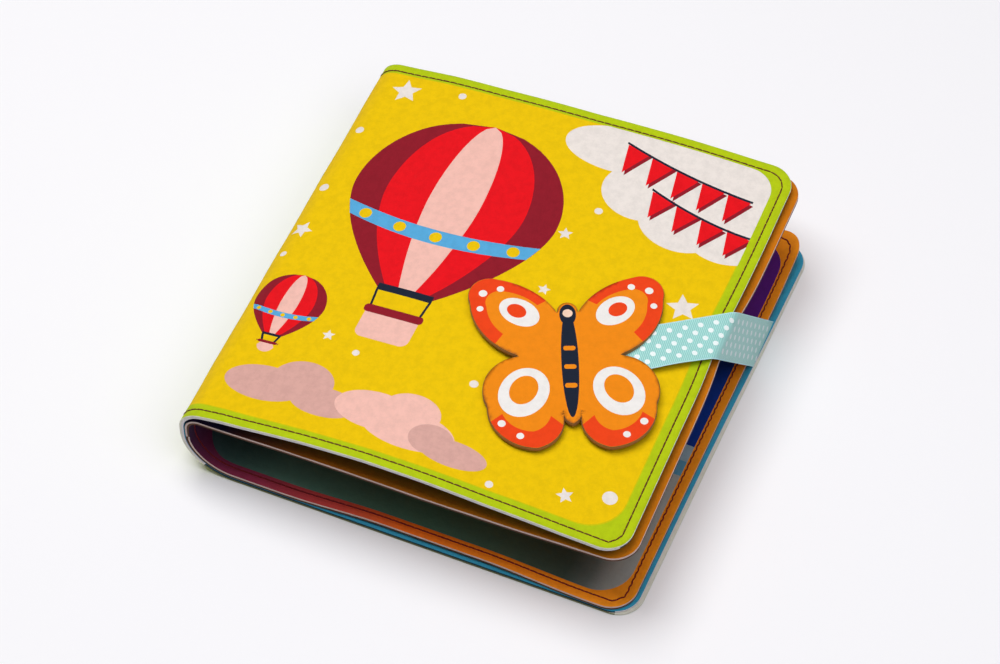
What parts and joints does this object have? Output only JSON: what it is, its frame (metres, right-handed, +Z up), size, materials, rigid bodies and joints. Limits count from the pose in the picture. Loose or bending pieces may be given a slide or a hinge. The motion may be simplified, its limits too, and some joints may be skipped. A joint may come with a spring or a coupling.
{
  "type": "soft felt book",
  "caption": "Soft book of sewn felt with rounded corners, a bent round spine, an upper and a lower leaf, and a dotted ribbon strap that closes with a butterfly tab.",
  "frame": {"origin": "middle of the back cover's underside, on the surface the book lies on", "axes": "+X from the spine to the fore-edge, +Y from the tail to the head, +Z up through the front cover"},
  "size_m": [0.1944, 0.2, 0.0507],
  "materials": {
    "printed_felt_yellow": "printed polyester felt",
    "printed_felt_blue": "printed polyester felt",
    "printed_felt_orange": "printed polyester felt",
    "dark_thread": "sewing thread",
    "red_thread": "sewing thread",
    "ribbon_aqua": "ribbed grosgrain with white dots",
    "stiff_felt_orange": "stiff printed felt with a pale cut edge",
    "loop_tape": "soft looped tape",
    "hook_tape": "hooked tape"
  },
  "bodies": {
    "back_and_pages": {"back_and_spine_outer": "printed_felt_yellow", "back_and_spine_lining": "printed_felt_blue", "back_and_spine_seam": "dark_thread", "inner_pages": "printed_felt_orange", "pages_seam": "red_thread", "binding_seam": "dark_thread", "ribbon_sewn_end": "ribbon_aqua"},
    "front_cover": {"front_cover_outer": "printed_felt_yellow", "front_cover_lining": "printed_felt_blue", "front_cover_seam": "dark_thread", "loop_patch": "loop_tape"},
    "strap": {"strap_ribbon": "ribbon_aqua", "closure_tab": "stiff_felt_orange", "hook_patch": "hook_tape"}
  },
  "joints": [
    {"name": "front_cover_hinge", "type": "hinge", "parent": "back_and_pages", "child": "front_cover", "pos_m": [-0.10315, 0, 0.024], "axis": [0, -1, 0], "range_deg": [0, 179]},
    {"name": "strap_hinge", "type": "hinge", "parent": "back_and_pages", "child": "strap", "pos_m": [0.0912, 0.0455, 0.00108], "axis": [0, 1, 0], "range_deg": [0, 95]}
  ]
}
